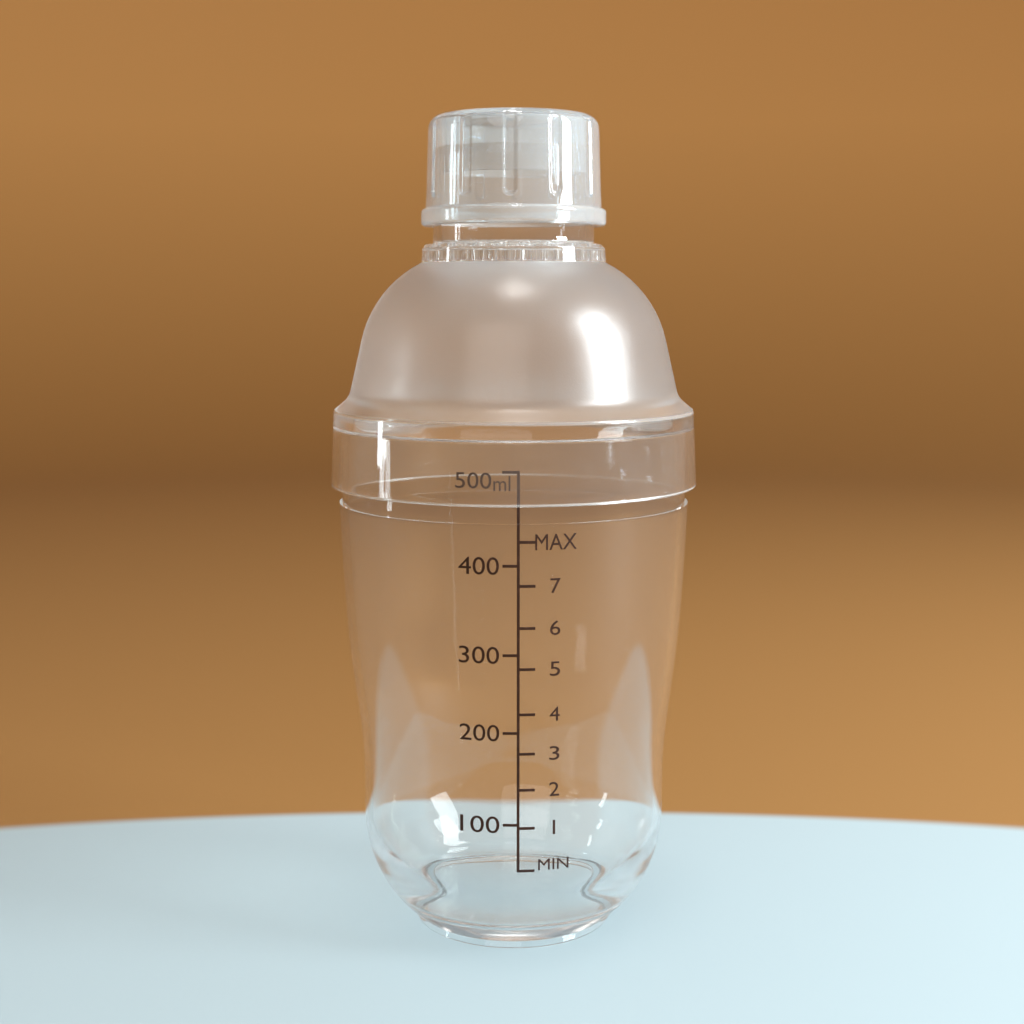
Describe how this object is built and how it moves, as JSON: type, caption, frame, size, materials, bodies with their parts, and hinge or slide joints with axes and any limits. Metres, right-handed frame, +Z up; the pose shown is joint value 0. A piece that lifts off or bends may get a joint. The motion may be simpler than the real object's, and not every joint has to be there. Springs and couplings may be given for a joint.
{
  "type": "three-piece cocktail shaker",
  "caption": "Clear plastic shaker: cup with a printed volume scale, push-on lid with a satin dome and built-in strainer, and a fluted push-on cap.",
  "frame": {"origin": "centre of the foot, on the surface the cup stands on", "axes": "+Z up along the shaker's axis; the printed scale faces -Y"},
  "size_m": [0.09, 0.09, 0.1999],
  "materials": {
    "cup_plastic": "clear moulded plastic, glossy",
    "lid_plastic": "clear moulded plastic, satin on the dome",
    "cap_plastic": "clear moulded plastic, glossy",
    "scale_ink": "dark brown printed ink"
  },
  "bodies": {
    "cup": {"cup_body": "cup_plastic", "scale_rule": "scale_ink", "volume_figures": "scale_ink", "portion_figures": "scale_ink"},
    "lid": {"strainer_lid": "lid_plastic", "strainer_plate": "lid_plastic"},
    "top_cap": {"cap": "cap_plastic", "cap_plug": "cap_plastic"}
  },
  "joints": [
    {"name": "lid_lift", "type": "slide", "parent": "cup", "child": "lid", "axis": [0, 0, 1], "range_m": [0, 0.04]},
    {"name": "cap_lift", "type": "slide", "parent": "lid", "child": "top_cap", "axis": [0, 0, 1], "range_m": [0, 0.035]}
  ]
}
